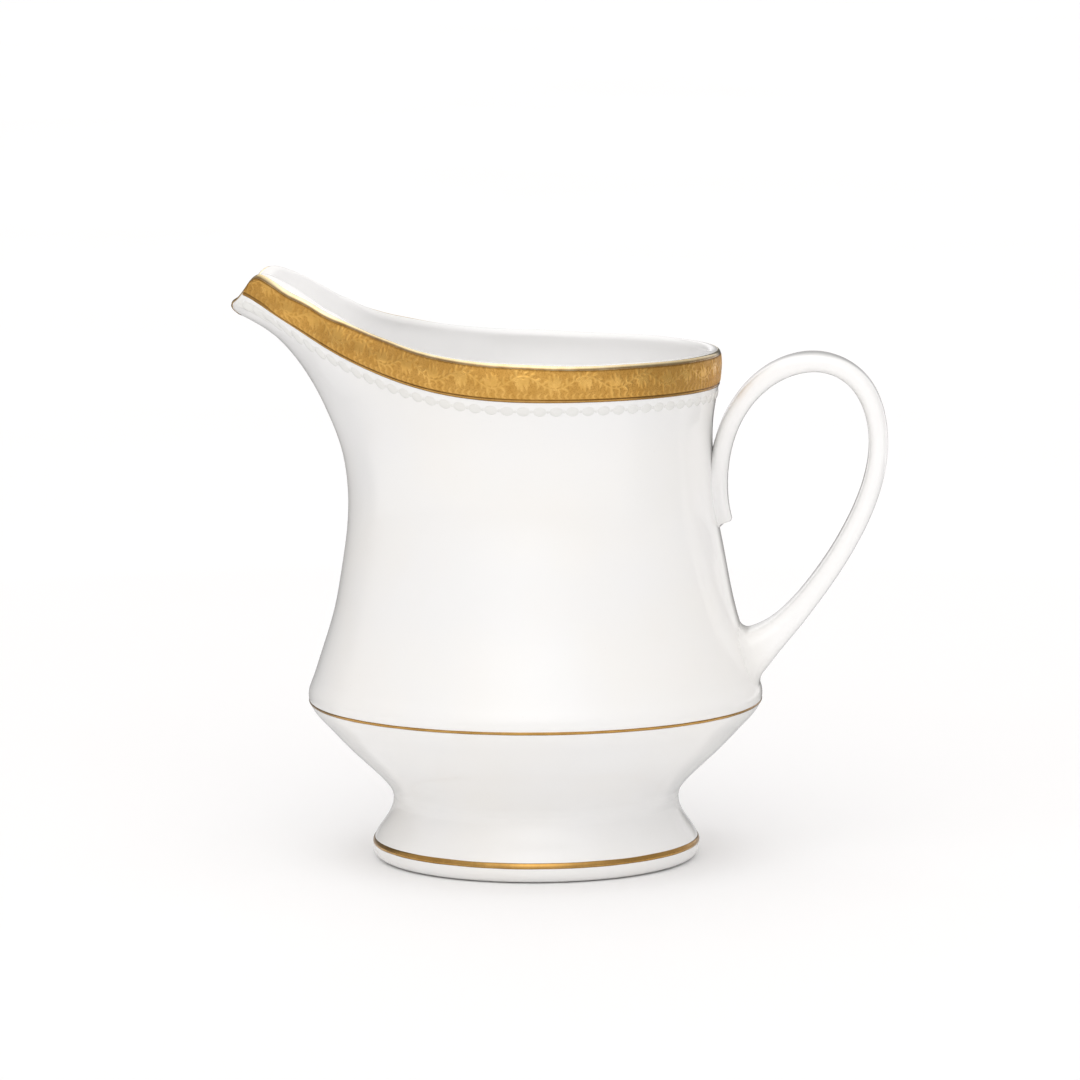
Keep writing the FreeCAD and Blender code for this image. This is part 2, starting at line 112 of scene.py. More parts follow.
HANDLE = [
    (34.37, 61.95, 3.1, 2.5), (33.76, 64.4, 3.28, 3.4),
    (33.44, 67.49, 3.39, 4.3), (33.5, 70.61, 3.42, 4.9),
    (33.88, 73.6, 3.42, 5.15), (34.59, 76.67, 3.42, 5.2),
    (35.79, 79.9, 3.41, 5.2), (37.35, 82.7, 3.4, 5.2),
    (39.25, 85.2, 3.44, 5.2), (41.6, 87.4, 3.53, 5.2),
    (44.37, 89.16, 3.58, 5.2), (47.52, 90.34, 3.58, 5.2),
    (50.9, 90.74, 3.51, 5.2), (54.22, 90.15, 3.45, 5.2),
    (57.19, 88.59, 3.46, 5.2), (59.53, 86.22, 3.53, 5.2),
    (61.13, 83.21, 3.54, 5.2), (62.03, 80.01, 3.49, 5.2),
    (62.37, 76.8, 3.47, 5.2), (62.26, 73.7, 3.47, 5.2),
    (61.79, 70.7, 3.5, 5.2), (61.01, 67.71, 3.54, 5.2),
    (60, 64.87, 3.59, 5.2), (58.79, 62.08, 3.63, 5.2),
    (57.4, 59.33, 3.65, 5.2), (55.93, 56.71, 3.66, 5.2),
    (54.32, 54.12, 3.7, 5.2), (52.62, 51.62, 3.76, 5.2),
    (50.83, 49.16, 3.86, 5.2), (48.97, 46.78, 4.04, 5.25),
    (46.99, 44.46, 4.4, 5.35), (44.82, 42.23, 4.97, 5.6),
    (42.42, 40.16, 6.19, 6.1), (39.95, 38.3, 8, 6.9),
    (37.45, 36.5, 9.4, 7.7)]


# ------------------------------------------------------------------ surface
class Spline:
    """Natural cubic through (x, y) pairs, for arrays."""

    def __init__(self, pts):
        p = np.array(pts, float)
        self.x, self.y = p[:, 0], p[:, 1]
        n = len(p)
        a, d = np.eye(n), np.zeros(n)
        for i in range(1, n - 1):
            h0 = self.x[i] - self.x[i - 1]
            h1 = self.x[i + 1] - self.x[i]
            a[i, i - 1], a[i, i], a[i, i + 1] = h0, 2 * (h0 + h1), h1
            d[i] = 6 * ((self.y[i + 1] - self.y[i]) / h1
                        - (self.y[i] - self.y[i - 1]) / h0)
        self.m = np.linalg.solve(a, d)

    def __call__(self, t):
        x, y, m = self.x, self.y, self.m
        t = np.clip(np.asarray(t, float), x[0], x[-1])
        k = np.clip(np.searchsorted(x, t, side="right") - 1, 0, len(x) - 2)
        h = x[k + 1] - x[k]
        u, v = (x[k + 1] - t) / h, (t - x[k]) / h
        return (u * y[k] + v * y[k + 1]
                + ((u ** 3 - u) * m[k] + (v ** 3 - v) * m[k + 1]) * h * h / 6)


bowl_r = Spline(BOWL_R)
reach = Spline(SPOUT_REACH)
angle = Spline(SPOUT_ANGLE)
rim_z = Spline(RIM)
band_low = Spline(BAND_LOW)


def radius(theta, z):
    away = np.degrees(PI - np.abs(theta))
    out = np.maximum(reach(z), 0.0) * np.exp(-(away / angle(z)) ** 2)
    return bowl_r(z) + np.where(z > SPOUT_REACH[0][0], out, 0.0)


def wall(z):
    return WALL_LOW + (WALL_TOP - WALL_LOW) * np.clip((z - 20.0) / 65.0, 0, 1)


def frame_at(theta, z):
    """r, tangent, inward normal in the radial plane, wall, wall across."""
    dz, dt = 0.05, 0.002
    r = radius(theta, z)
    rz = (radius(theta, z + dz) - radius(theta, z - dz)) / (2 * dz)
    t0 = np.abs(theta)
    t1, t2 = np.minimum(t0 + dt, PI), np.maximum(t0 - dt, 0.0)
    rt = (radius(t1, z) - radius(t2, z)) / (t1 - t2) / r
    l = np.sqrt(1 + rz * rz)
    w = wall(z)
    across = w * np.minimum(np.sqrt(1 + rt * rt / (1 + rz * rz)), 1.8)
    return r, (rz / l, 1 / l), (-1 / l, rz / l), w, across


def crossing(theta, f, lo=70.0, hi=109.0):
    """Height at which the skin first meets the side elevation curve f(x)."""
    theta = np.asarray(theta, float)
    c = np.cos(theta)
    zs = np.arange(lo, hi, 0.25)
    g = zs[None, :] - f(radius(theta[:, None], zs[None, :]) * c[:, None]) >= 0
    first = np.where(g.any(1), g.argmax(1), len(zs) - 1)
    a, b = zs[first] - 0.25, zs[first].copy()
    for _ in range(26):
        m = (a + b) / 2
        up = m - f(radius(theta, m) * c) >= 0
        b, a = np.where(up, m, b), np.where(up, a, m)
    return (a + b) / 2


def edge_z(theta):
    """Height where the outside wall ends and the rounded lip begins."""
    zr = crossing(theta, rim_z)
    z = zr - 1.1
    for _ in range(4):
        r, t, n, w, across = frame_at(theta, z)
        z = zr - (w / 2 * t[1] + across / 2 * np.maximum(n[1], 0.0))
    return z


def xyz(theta, r, z):
    return np.stack(np.broadcast_arrays(r * np.cos(theta), r * np.sin(theta),
                                        z), -1)


def on_wall(theta, z, out=0.0):
    r, t, n, w, across = frame_at(theta, z)
    return xyz(theta, r - n[0] * out, z - n[1] * out)


def on_lip(theta, edge, alpha, out=0.0):
    """Rounded lip, alpha 0 outside to 180 inside."""
    r, t, n, w, across = frame_at(theta, edge)
    ca, sa = math.cos(math.radians(alpha)), math.sin(math.radians(alpha))
    hw, ha = w / 2 + out, across / 2 + out
    cr, cz = r + n[0] * across / 2, edge + n[1] * across / 2
    return xyz(theta, cr + t[0] * hw * sa - n[0] * ha * ca,
               cz + t[1] * hw * sa - n[1] * ha * ca)


def inside(theta, z):
    r, t, n, w, across = frame_at(theta, z)
    return xyz(theta, r + n[0] * across, z + n[1] * across)


def even_thetas(n, limit=PI):
    """Angles round the jug evenly spaced along the mouth."""
    t = np.linspace(-limit, limit, 4001)
    p = xyz(t, radius(t, np.full_like(t, 96.5)), 0.0)
    s = np.concatenate([[0], np.cumsum(np.linalg.norm(np.diff(p, axis=0),
                                                      axis=1))])
    if limit >= PI - 1e-9:
        k = np.arange(n) / n
    else:
        k = np.arange(n) / (n - 1)
    return np.interp(k * s[-1], s, t)


# -------------------------------------------------------------------- mesh
def step01(x, a, b):
    t = np.clip((x - a) / (b - a), 0, 1)
    return t * t * (3 - 2 * t)


def make(name, co, faces, material, nodes, attrs=None):
    """A smooth closed mesh piece from points in mm and faces."""
    co = np.asarray(co, float)
    vol = 0.0
    for f in faces:
        if isinstance(f, np.ndarray):
            for k in range(1, f.shape[1] - 1):
                vol += np.einsum("ij,ij->i", co[f[:, 0]],
                                 np.cross(co[f[:, k]], co[f[:, k + 1]])).sum()
    flat = []
    for f in faces:
        f = f[:, ::-1] if vol < 0 else f
        flat += f.tolist()
    me = bpy.data.meshes.new(name)
    me.from_pydata((co * MM).tolist(), [], flat)
    me.shade_smooth()
    for key, val in (attrs or {}).items():
        a = me.attributes.new(key, "FLOAT", "POINT")
        a.data.foreach_set("value", np.asarray(val, np.float32).ravel())
    me.update()
    me.materials.append(material)
    ob = bpy.data.objects.new(name, me)
    bpy.context.scene.collection.objects.link(ob)
    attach(ob, "root")
    if nodes:
        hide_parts(*nodes)
    return ob


def grid_faces(nu, nv, close_u, close_v, base=0):
    i = np.arange(nu if close_u else nu - 1)
    j = np.arange(nv if close_v else nv - 1)
    a, b = np.meshgrid(i, j, indexing="ij")
    a2, b2 = (a + 1) % nu, (b + 1) % nv
    q = np.stack([a * nv + b, a2 * nv + b, a2 * nv + b2, a * nv + b2], -1)
    return q.reshape(-1, 4) + base


def fan(ring, centre):
    ring = np.asarray(ring)
    return np.stack([ring, np.roll(ring, -1), np.full(len(ring), centre)], -1)


# --------------------------------------------------------------- materials
def new_material(name):
    m = bpy.data.materials.new(name)
    m.use_nodes = True
    nt = m.node_tree
    return m, nt, nt.nodes["Principled BSDF"]


def node(nt, kind, **kw):
    n = nt.nodes.new(kind)
    for k, v in kw.items():
        if k in n.inputs:
            n.inputs[k].default_value = v
        else:
            setattr(n, k, v)
    return n


def noise(nt, vec, scale, detail=3.0, rough=0.5):
    n = node(nt, "ShaderNodeTexNoise")
    n.inputs["Scale"].default_value = scale
    n.inputs["Detail"].default_value = detail
    n.inputs["Roughness"].default_value = rough
    nt.links.new(vec, n.inputs["Vector"])
    return n.outputs["Fac"]


def remap(nt, val, a, b, c, d):
    n = node(nt, "ShaderNodeMapRange")
    n.inputs["From Min"].default_value = a
    n.inputs["From Max"].default_value = b
    n.inputs["To Min"].default_value = c
    n.inputs["To Max"].default_value = d
    nt.links.new(val, n.inputs["Value"])
    return n.outputs["Result"]


def calc(nt, op, a, b=None, c=None):
    n = node(nt, "ShaderNodeMath", operation=op)
    for i, v in enumerate((a, b, c)):
        if v is None:
            continue
        if isinstance(v, (int, float)):
            n.inputs[i].default_value = v
        else:
            nt.links.new(v, n.inputs[i])
    return n.outputs[0]


def blend(nt, fac, a, b):
    n = node(nt, "ShaderNodeMix", data_type="RGBA")
    for sock, v in ((n.inputs[0], fac), (n.inputs[6], a), (n.inputs[7], b)):
        if isinstance(v, tuple):
            sock.default_value = v + (1.0,)
        elif isinstance(v, (int, float)):
            sock.default_value = v
        else:
            nt.links.new(v, sock)
    return n.outputs[2]


def attribute(nt, name):
    return node(nt, "ShaderNodeAttribute", attribute_name=name).outputs["Fac"]


def bump(nt, heights, bsdf):
    """Chain of (height socket, strength, distance in metres)."""
    last = None
    for h, strength, dist in heights:
        b = node(nt, "ShaderNodeBump")
        b.inputs["Strength"].default_value = strength
        b.inputs["Distance"].default_value = dist
        nt.links.new(h, b.inputs["Height"])
        if last is not None:
            nt.links.new(last, b.inputs["Normal"])
        last = b.outputs["Normal"]
    nt.links.new(last, bsdf.inputs["Normal"])


def porcelain(name, tint, rough_lo, rough_hi, bare=False, painted_light_inside=False):
    """Glazed white body: faint waviness, pinholes, uneven gloss."""
    m, nt, b = new_material(name)
    pos = node(nt, "ShaderNodeTexCoord").outputs["Object"]
    big = noise(nt, pos, 38.0, 2.0)
    mid = noise(nt, pos, 160.0, 3.0)
    fine = noise(nt, pos, 2600.0, 2.0)
    warm = tuple(c * k for c, k in zip(tint, (1.0, 0.992, 0.975)))
    cool = tuple(c * k for c, k in zip(tint, (0.992, 0.996, 1.0)))
    col = blend(nt, remap(nt, big, 0.35, 0.65, 0, 1), warm, cool)
    speck = node(nt, "ShaderNodeTexVoronoi")
    speck.inputs["Scale"].default_value = 190.0
    nt.links.new(pos, speck.inputs["Vector"])
    dot = remap(nt, speck.outputs["Distance"], 0.012, 0.03, 0.35, 0.0)
    col = blend(nt, dot, col, tuple(c * k for c, k in
                                    zip(tint, (0.86, 0.83, 0.78))))
    if painted_light_inside:
        # painted light: the jug's inner skin, and the strap where it stands off the body
        # (the inside attribute), are painted whiter than the rest of the glaze
        col = blend(nt, attribute(nt, "inside"), col, (0.965, 0.962, 0.955))
    rough = remap(nt, mid, 0.3, 0.7, rough_lo, rough_hi)
    heights = [(big, 0.22, 0.0006), (mid, 0.10, 0.00016),
               (fine, 0.035, 0.00002)]
    if bare:
        mask = calc(nt, "ADD", attribute(nt, "bare"),
                    remap(nt, mid, 0.3, 0.7, -0.22, 0.22))
        mask = remap(nt, mask, 0.45, 0.58, 0.0, 1.0)
        grain = noise(nt, pos, 1500.0, 4.0, 0.7)
        clay = blend(nt, remap(nt, grain, 0.3, 0.7, 0, 1),
                     (0.70, 0.665, 0.60), (0.80, 0.775, 0.72))
        clay = blend(nt, remap(nt, noise(nt, pos, 420.0, 3.0), 0.58, 0.75,
                               0.0, 0.35), clay, (0.42, 0.38, 0.33))
        col = blend(nt, mask, col, clay)
        rough = calc(nt, "MAXIMUM", rough,
                     calc(nt, "MULTIPLY", mask, 0.62))
        heights.append((calc(nt, "MULTIPLY", mask, grain), 0.5, 0.00006))
    nt.links.new(col, b.inputs["Base Color"])
    nt.links.new(rough, b.inputs["Roughness"])
    b.inputs["IOR"].default_value = 1.52
    bump(nt, heights, b)
    return m


def gilding(name, light, dark, rough_lo, rough_hi, etched=False):
    """Fired gold: brushed wear, brown edges that are partly the gold's own and partly
    painted shade, stippled etched ground with painted shade in its hollows.
    """
    m, nt, b = new_material(name)
    pos = node(nt, "ShaderNodeTexCoord").outputs["Object"]
    big = noise(nt, pos, 60.0, 3.0)
    mid = noise(nt, pos, 420.0, 4.0, 0.6)
    fine = noise(nt, pos, 3200.0, 3.0, 0.6)
    col = blend(nt, remap(nt, mid, 0.3, 0.72, 0, 1), light, dark)
    col = blend(nt, remap(nt, big, 0.35, 0.7, 0.0, 0.45), col,
                tuple(c * k for c, k in zip(light, (0.93, 0.80, 0.62))))
    edge = attribute(nt, "edge")
    if etched:
        raised = attribute(nt, "raised")
        stip = node(nt, "ShaderNodeTexVoronoi")
        stip.inputs["Scale"].default_value = 3600.0
        nt.links.new(pos, stip.inputs["Vector"])
        pits = remap(nt, stip.outputs["Distance"], 0.1, 0.55, 0.0, 1.0)
        ground = calc(nt, "SUBTRACT", 1.0, raised)
        # painted shade: the sunken etched ground is painted darker brown, most in the
        # hollows of its stipple pits
        painted_hollow_shade = calc(nt, "MULTIPLY", ground,
                    remap(nt, pits, 0.0, 1.0, 0.75, 0.35))
        col = blend(nt, painted_hollow_shade, col, tuple(c * k for c, k in
                                         zip(dark, (0.62, 0.50, 0.36))))
        rough = calc(nt, "ADD", remap(nt, mid, 0.3, 0.7, rough_lo, rough_hi),
                     calc(nt, "MULTIPLY", ground, 0.16))
        heights = [(mid, 0.18, 0.00006),
                   (calc(nt, "MULTIPLY", ground, pits), 0.55, 0.00005),
                   (fine, 0.15, 0.00001)]
    else:
        rough = remap(nt, mid, 0.3, 0.7, rough_lo, rough_hi)
        heights = [(mid, 0.12, 0.00005), (fine, 0.10, 0.00001)]
    # brown where the edge attribute is set: partly the gold's own brown edge, partly
    # painted shade and painted dark reflection
    brown = tuple(c * k for c, k in zip(dark, (0.34, 0.27, 0.22)))
    col = blend(nt, calc(nt, "MULTIPLY", edge,
                         remap(nt, mid, 0.3, 0.7, 0.75, 1.0)), col, brown)
    nt.links.new(col, b.inputs["Base Color"])
    nt.links.new(rough, b.inputs["Roughness"])
    b.inputs["Metallic"].default_value = 1.0
    bump(nt, heights, b)
    return m


WHITE = (0.88, 0.875, 0.865)
m_body = porcelain("glazed_white", WHITE, 0.05, 0.10, painted_light_inside=True)
m_foot = porcelain("glazed_white_foot", WHITE, 0.05, 0.10, bare=True)
m_bead = porcelain("raised_white_enamel", (0.80, 0.795, 0.77), 0.12, 0.22)
m_slip = porcelain("slip_joint_clay", (0.78, 0.76, 0.72), 0.35, 0.55)
m_lute = porcelain("foot_joint_glaze", WHITE, 0.05, 0.10)
m_etched = gilding("etched_gold", (0.83, 0.51, 0.15), (0.64, 0.37, 0.09),
                   0.24, 0.34, etched=True)
m_line = gilding("brown_gold", (0.58, 0.35, 0.11), (0.42, 0.24, 0.07),
                 0.14, 0.24)
# painted highlight: the lip gold is given a pale cream colour, lighter than the other
# gilding
m_lip = gilding("lip_gold_painted_highlight", (0.97, 0.86, 0.60), (0.88, 0.70, 0.38),
                0.08, 0.16)


# -------------------------------------------------------------- bowl, spout
def steps(*spans):
    out = []
    for lo, hi, n in spans:
        out += list(np.linspace(lo, hi, n, endpoint=False))
    return out + [spans[-1][1]]


TH = even_thetas(530)
EDGE = edge_z(TH)
low_rows = steps((WAIST_Z, 17.0, 10), (17.0, 24.0, 6), (24.0, 34.0, 22),
                 (34.0, RISE, 13))
v_rows = np.linspace(0, 1, 38)[1:]
rows = [xyz(TH, radius(TH, np.full_like(TH, WAIST_Z)), WAIST_Z)]
rows += [on_wall(TH, np.full_like(TH, z)) for z in low_rows[1:]]
rows += [on_wall(TH, RISE + (EDGE - RISE) * v) for v in v_rows]
rows += [on_lip(TH, EDGE, a) for a in np.linspace(0, 180, 15)[1:]]
rows += [inside(TH, RISE + (EDGE - RISE) * v) for v in v_rows[::-1][1:]]
rows += [inside(TH, np.full_like(TH, z))
         for z in steps((15.6, 24.0, 9), (24.0, 34.0, 12),
                        (34.0, RISE, 10))[::-1]]
inner_floor = [(24.6, 16.2), (24.0, 15.8), (22.9, 15.35), (21.9, 15.05),
               (21.0, 14.85), (19.7, 14.68), (18.5, 14.6), (13.0, 14.6),
               (6.0, 14.6)]
rows += [xyz(TH, np.full_like(TH, r), z) for r, z in inner_floor]
under = [(25.6, 11.5), (23.5, 11.5), (21.0, 11.5), (14.0, 11.5), (6.0, 11.5)]
rows = [xyz(TH, np.full_like(TH, r), z) for r, z in under[::-1]] + rows
P = np.stack(rows, 1)
nu, nv = P.shape[:2]
# ease the inner skin of the spout, where the wall turns tightest
lip_end = len(under) + len(low_rows) + len(v_rows) + 14
ease = (step01(np.abs(TH), math.radians(100), math.radians(130))[:, None]
        * step01(np.arange(nv), lip_end - 2.0, lip_end + 4.0)[None, :]
        * (1 - step01(np.arange(nv), lip_end + 34, lip_end + 44.0)[None, :]))
for _ in range(90):
    Q = (np.roll(P, 1, 0) + np.roll(P, -1, 0)) / 4
    Q[:, 1:-1] += (P[:, 2:] + P[:, :-2]) / 4
    P[:, 1:-1] += (0.8 * ease[..., None] * (Q - P))[:, 1:-1]
soft = 0.5 * step01(np.arange(nv), lip_end + 8.0, lip_end + 20.0)
for _ in range(24):
    Q = (P[:, 2:] + P[:, :-2]) / 2 - P[:, 1:-1]
    P[:, 1:-1] += soft[None, 1:-1, None] * Q
co = np.concatenate([P.reshape(-1, 3), [[0, 0, 11.5], [0, 0, 14.6]]])
first = np.arange(nu) * nv
# painted light: the inside attribute, 0 on the outer wall and rising to 1 across the lip
# into the inner skin, paints the inner skin whiter
make("jug_body_glazed", co,
     [grid_faces(nu, nv, True, False), fan(first[::-1], nu * nv),
      fan(first + nv - 1, nu * nv + 1)],
     m_body, ["jug_body"], {"inside": np.append(
         np.tile(step01(np.arange(nv), lip_end - 9.0, lip_end - 2.0), nu),
         [0.0, 1.0])})


# --------------------------------------------------------------- foot
def revolve(name, profile, n, material, nodes, attrs=None):
    """Closed ring from a closed loop of (r, z)."""
    t = np.linspace(-PI, PI, n, endpoint=False)
    p = np.array(profile, float)
    P = xyz(t[:, None], p[None, :, 0], p[None, :, 1])
    at = {k: np.tile(v, n) for k, v in (attrs or {}).items()}
    return make(name, P.reshape(-1, 3), [grid_faces(n, len(p), True, True)],
                material, nodes, at)


def along(pts, n):
    """Points evenly spaced along a smooth curve through (r, z) pairs."""
    p = np.array(pts, float)
    s = np.concatenate([[0], np.cumsum(np.hypot(*np.diff(p, axis=0).T))])
    fr, fz = Spline(list(zip(s, p[:, 0]))), Spline(list(zip(s, p[:, 1])))
    q = np.linspace(0, s[-1], n)
    return list(zip(fr(q), fz(q)))


outer = along(FOOT_OUT, 54)
inner = along(FOOT_IN, 40)
contact = [(25.62, 0.03), (25.68, 0.0), (25.9, 0.0), (26.4, 0.0), (26.9, 0.0),
           (27.3, 0.0), (27.6, 0.0)]
crown = [(25.9, 11.2), (25.0, 11.2), (24.2, 11.2), (23.3, 11.2)]
prof = outer + crown + inner[:-1] + [(25.61, 0.06)] + contact
bare = [1.0 if (z < 0.02 and r < 27.9) else
        (0.62 if z < 0.14 and r < 28.3 else
         (0.4 if z < 0.4 and r < 26.5 else 0.0)) for r, z in prof]
revolve("pedestal_foot_glazed", prof, 300, m_foot,
        ["pedestal_foot"], {"bare": bare})

# glaze-filled joint between foot and bowl
foot_r = Spline(sorted((z, r) for r, z in FOOT_OUT))
zs = np.linspace(12.9, 9.9, 31)
mix = np.clip((zs - 10.9) / 0.7, 0, 1)
mix = mix * mix * (3 - 2 * mix)
pr = foot_r(np.minimum(zs, 11.2)) * (1 - mix) + bowl_r(np.maximum(zs, 11.28)) * mix
hump = np.clip(1 - ((zs - 11.4) / 1.5) ** 2, 0, 1)
pr = pr - 0.02 + 0.07 * hump ** 0.8
joint = list(zip(pr, zs)) + [(25.4, 10.3), (25.3, 11.14), (23.7, 11.14),
                             (23.3, 10.95), (23.15, 10.75), (23.02, 10.98),
                             (22.82, 11.24), (22.5, 11.42), (22.15, 11.52),
                             (23.0, 11.58), (25.3, 11.58), (25.4, 12.4)]
revolve("foot_joint_glaze", joint, 300, m_lute,
        ["foot_luting"])


# ------------------------------------------------------------------- handle
def handle_mesh(stations, n):
    h = np.array(HANDLE, float)
    k = np.arange(len(h))
    px, pz, pt, pw = (Spline(list(zip(k, h[:, i]))) for i in range(4))
    last = len(h) - 1.0
    s = np.interp(np.linspace(0, 1, stations),
                  [0, 0.28, 0.72, 1.0], [0, 0.2 * last, 0.74 * last, last])
    e = 0.02
    x, z = px(s), pz(s)
    dx = px(np.minimum(s + e, last)) - px(np.maximum(s - e, 0))
    dz = pz(np.minimum(s + e, last)) - pz(np.maximum(s - e, 0))
    l = np.hypot(dx, dz)
    nx, nz = dz / l, -dx / l
    a = 2 * PI * np.arange(n) / n
    # finer round the four rounded edges
    a = a - 0.11 * np.sin(4 * a)
    p = 3.2
    ca, sa = np.cos(a), np.sin(a)
    q = (np.abs(ca) ** p + np.abs(sa) ** p) ** (-1.0 / p)
    rings = []
    for i in range(stations):
        ht, hw = pt(s[i]) / 2, pw(s[i])
        u, v = hw * q * ca, ht * q * sa
        rings.append(np.stack([x[i] + nx[i] * v, u, z[i] + nz[i] * v], -1))
    # rounded end of the tail: rings shrinking toward the tip
    tip = []
    tx, tz = -dx[0] / l[0], -dz[0] / l[0]
    ht, hw = pt(0) / 2, pw(0)
    for b in np.radians([75, 58, 40, 22, 6]):
        cut = 0.55
        hh, ww = ht - cut * (1 - math.sin(b)), hw - cut * (1 - math.sin(b))
        off = cut * math.cos(b)
        u, v = ww * q * ca, hh * q * sa
        tip.append(np.stack([x[0] + tx * off + nx[0] * v, u,
                             z[0] + tz * off + nz[0] * v], -1))
    return np.stack(tip[::-1] + rings, 0)


S = handle_mesh(300, 150)


def grid_normals(G):
    du = np.gradient(G, axis=0)
    dv = (np.roll(G, -1, 1) - np.roll(G, 1, 1))
    nn = np.cross(du, dv)
    return nn / np.maximum(np.linalg.norm(nn, axis=-1, keepdims=True), 1e-9)


def skin_distance(G):
    th = np.arctan2(G[..., 1], G[..., 0])
    zz = np.clip(G[..., 2], 12.0, 92.0)
    r = np.hypot(G[..., 0], G[..., 1])
    rz = (bowl_r(zz + 0.05) - bowl_r(zz - 0.05)) / 0.1
    l = np.sqrt(1 + rz * rz)
    nb = np.stack([np.cos(th) / l, np.sin(th) / l, -rz / l], -1)
    return (r - bowl_r(zz)) / l, nb


N = grid_normals(S)
mid = S.mean(1, keepdims=True)
if ((S - mid) * N).sum() < 0:
    N = -N
d, nb = skin_distance(S)
R = np.where(S[..., 2] < 52, 1.7, 0.75)
g = np.where(d < 0, R, np.where(d < R, R - np.sqrt(np.maximum(
    R * R - (R - np.minimum(d, R)) ** 2, 0)), 0))
side = N - (N * nb).sum(-1, keepdims=True) * nb
near = S[..., 0] < 46
S = S + side * (g * near)[..., None]
d, nb = skin_distance(S)
S = S + nb * np.maximum(-0.7 - d, 0)[..., None]
nu, nv = S.shape[:2]
co = np.concatenate([S.reshape(-1, 3), [S[0].mean(0)], [S[-1].mean(0)]])
# painted light: the inside attribute grows with distance from the body, so the strap is
# painted whiter away from the jug
make("handle_strap_glazed", co,
     [grid_faces(nu, nv, False, True),
      fan(np.arange(nv)[::-1], nu * nv),
      fan(np.arange(nv) + (nu - 1) * nv, nu * nv + 1)],
     m_body, ["handle"], {"inside": np.append(
         0.8 * step01(d, 0.5, 7.0).ravel(), [0.8, 0.8])})
for name in ("handle_upper_luting", "handle_lower_luting"):
    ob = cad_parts[name]
    ob.data.materials.clear()
    ob.data.materials.append(m_slip)


# --------------------------------------------------------- gilding, relief
def strip(name, th, sections, material, nodes, closed, attrs):
    """Closed ribbon: sections is (angles, points round the section, 3)."""
    nu, nv = sections.shape[:2]
    co = sections.reshape(-1, 3)
    faces = [grid_faces(nu, nv, closed, True)]
    if not closed:
        ends = np.array([sections[0].mean(0), sections[-1].mean(0)])
        co = np.concatenate([co, ends])
        faces += [fan(np.arange(nv)[::-1], nu * nv),
                  fan(np.arange(nv) + (nu - 1) * nv, nu * nv + 1)]
        attrs = {k: np.concatenate([np.ravel(v), [0, 0]])
                 for k, v in attrs.items()}
    return make(name, co, faces, material, nodes, attrs)


def back_rows(T, z0, z1, depth=-0.05, n=8):
    """Rows just under the glaze that close a ribbon behind, top to bottom."""
    k = (np.arange(1, n + 1) / (n + 1.0))[None, :]
    Z = z1[:, None] + (z0 - z1)[:, None] * k
    return on_wall(T[:, None] + 0 * Z, Z, depth)


def length_along(th, z):
    p = on_wall(th, z)
    s = np.concatenate([[0], np.cumsum(np.linalg.norm(np.diff(p, axis=0),
                                                      axis=1))])
    return s - s[-1] / 2


# one repeat of the etched foliage, as heights 0 to 1 on a small map
TILE_L, TILE_H, TILE_R = 11.2, 6.1, 0.05


